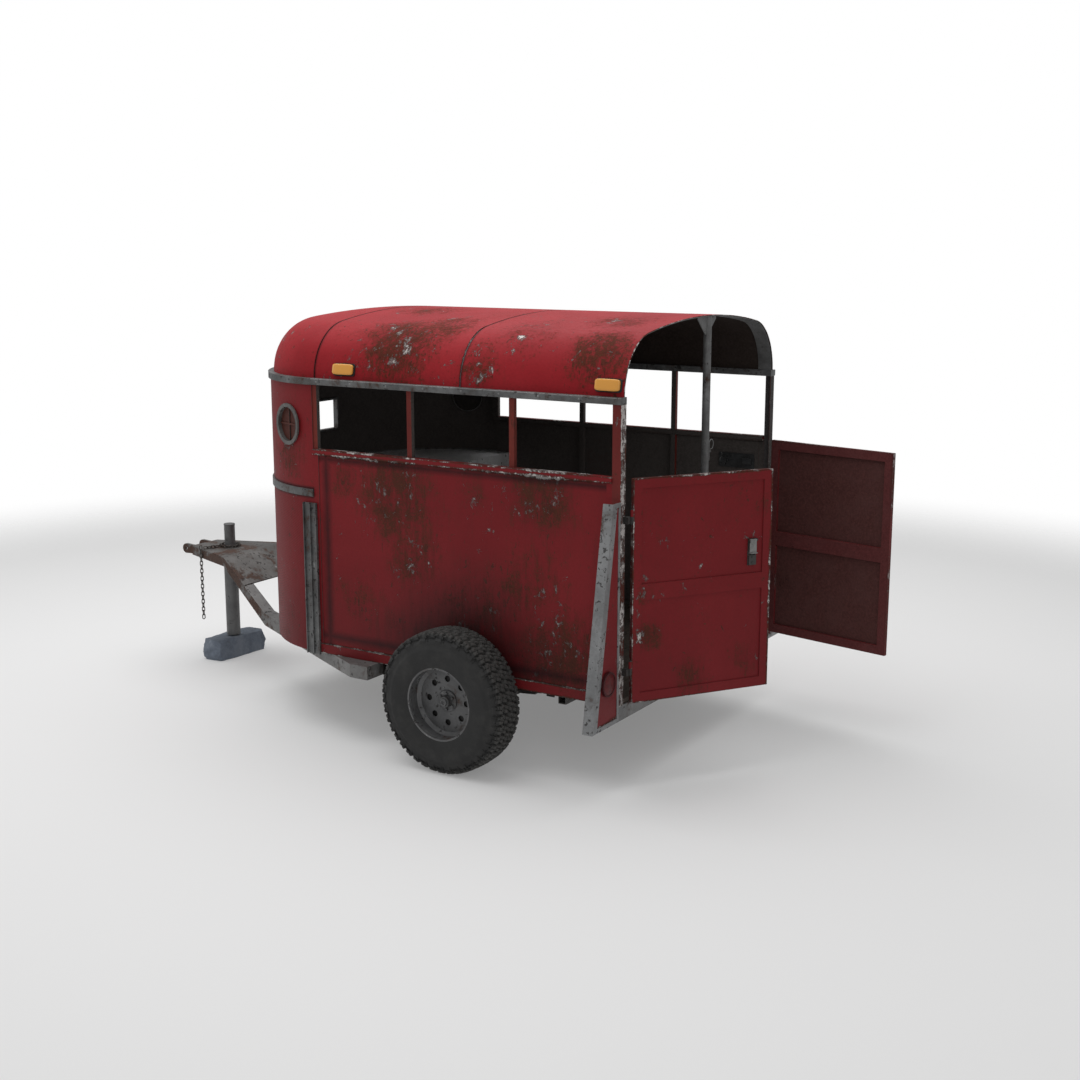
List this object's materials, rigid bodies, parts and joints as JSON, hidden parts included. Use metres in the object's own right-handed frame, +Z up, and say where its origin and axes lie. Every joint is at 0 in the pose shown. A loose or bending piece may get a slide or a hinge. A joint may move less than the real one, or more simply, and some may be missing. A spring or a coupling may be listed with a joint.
{
  "type": "livestock trailer",
  "caption": "Single-axle livestock trailer with a rounded nose, arched roof, open window band, twin rear doors, A-frame drawbar and a jack stand on a block.",
  "frame": {"origin": "on the ground under the middle of the whole trailer, doors standing open", "axes": "+X to the rear, +Y to the trailer right side, +Z up"},
  "size_m": [4.5986, 2.348, 2.342],
  "materials": {
    "galvanised": "weathered zinc with dark pits and rust",
    "chain_steel": "dull dark steel",
    "axle_steel": "dirty black steel with rust",
    "body_red": "worn deep red paint with rust and chips",
    "door_inner_red": "dull dark maroon paint, dusty and rusted",
    "roof_red": "faded red paint with rust patches and pale chips",
    "manger_grey": "dull dark grey sheet",
    "wheel_steel": "grey steel with rusty lip",
    "tyre_rubber": "dry black rubber",
    "amber_lens": "amber lens plastic",
    "gasket_rubber": "black rubber",
    "red_lens": "dark red lens plastic",
    "floor_wood": "worn dark planks",
    "slate": "rough blue-grey stone"
  },
  "bodies": {
    "root": {"axle": "axle_steel", "butt_bracket": "galvanised", "centre_post": "galvanised", "chain_wrap": "chain_steel", "chassis_rails": "galvanised", "corner_channels": "galvanised", "coupling_ears": "galvanised", "crossmembers": "galvanised", "drawbar_left": "galvanised", "drawbar_plate": "galvanised", "drawbar_right": "galvanised", "drip_rails": "galvanised", "fin_frames": "galvanised", "fin_panels": "body_red", "floor_planks": "floor_wood", "hinge_brackets": "galvanised", "hinge_pins": "galvanised", "jack_sleeve": "galvanised", "leaf_springs": "axle_steel", "manger_shelf": "manger_grey", "marker_gaskets": "gasket_rubber", "marker_lenses": "amber_lens", "nose_belt": "galvanised", "nose_drip_rail": "galvanised", "nose_lower": "body_red", "nose_upper": "body_red", "nose_window_frame": "galvanised", "porthole_discs": "body_red", "porthole_rings": "galvanised", "post_gussets": "galvanised", "rear_bumper": "galvanised", "rear_posts": "galvanised", "roof_bows": "galvanised", "roof_front": "roof_red", "roof_nose": "roof_red", "roof_rear": "roof_red", "side_frames": "body_red", "side_panels": "body_red", "spring_clamps": "axle_steel", "spring_hangers": "axle_steel", "tail_bezels": "gasket_rubber", "tail_lenses": "red_lens", "wall_plates": "galvanised", "wall_posts": "body_red"},
    "door_left": {"door_frame_left": "body_red", "door_panels_left": "body_red", "latch_case": "galvanised"},
    "latch": {"latch_paddle": "galvanised"},
    "door_right": {"door_frame_right": "door_inner_red", "door_panels_right": "door_inner_red"},
    "wheel_left": {"tyre_left": "tyre_rubber", "wheel_rim_left": "wheel_steel", "hub_left": "wheel_steel"},
    "wheel_right": {"tyre_right": "tyre_rubber", "wheel_rim_right": "wheel_steel", "hub_right": "wheel_steel"},
    "jack": {"jack_leg": "galvanised", "stone_block": "slate"},
    "chain": {"chain_hanging": "chain_steel"},
    "loop_pin": {"loop_pin": "galvanised"}
  },
  "joints": [
    {"name": "wheel_left_spin", "type": "hinge", "parent": "root", "child": "wheel_left", "pos_m": [0.55971, -1.051, 0.381], "axis": [0, 1, 0], "continuous": true},
    {"name": "wheel_right_spin", "type": "hinge", "parent": "root", "child": "wheel_right", "pos_m": [0.55971, 1.051, 0.381], "axis": [0, 1, 0], "continuous": true},
    {"name": "door_left_swing", "type": "hinge", "parent": "root", "child": "door_left", "pos_m": [1.51271, -0.852, 0.464], "axis": [0, 0, -1], "range_deg": [-33.8, 146.2]},
    {"name": "door_right_swing", "type": "hinge", "parent": "root", "child": "door_right", "pos_m": [1.51271, 0.852, 0.464], "axis": [0, 0, 1], "range_deg": [-78, 102]},
    {"name": "latch_paddle_lift", "type": "hinge", "parent": "door_left", "child": "latch", "pos_m": [1.90155, -0.27835, 1.24], "axis": [-0.5563, -0.831, 0], "range_deg": [0, 50]},
    {"name": "jack_slide", "type": "slide", "parent": "root", "child": "jack", "axis": [0, 0, -1], "range_m": [0, 0.2]},
    {"name": "chain_swing", "type": "hinge", "parent": "root", "child": "chain", "pos_m": [-2.03729, -0.18417, 0.76131], "axis": [-0.3511, -0.9363, 0], "range_deg": [-25, 25]},
    {"name": "loop_pin_lift", "type": "slide", "parent": "root", "child": "loop_pin", "axis": [0, 0, 1], "range_m": [0, 0.05]}
  ]
}
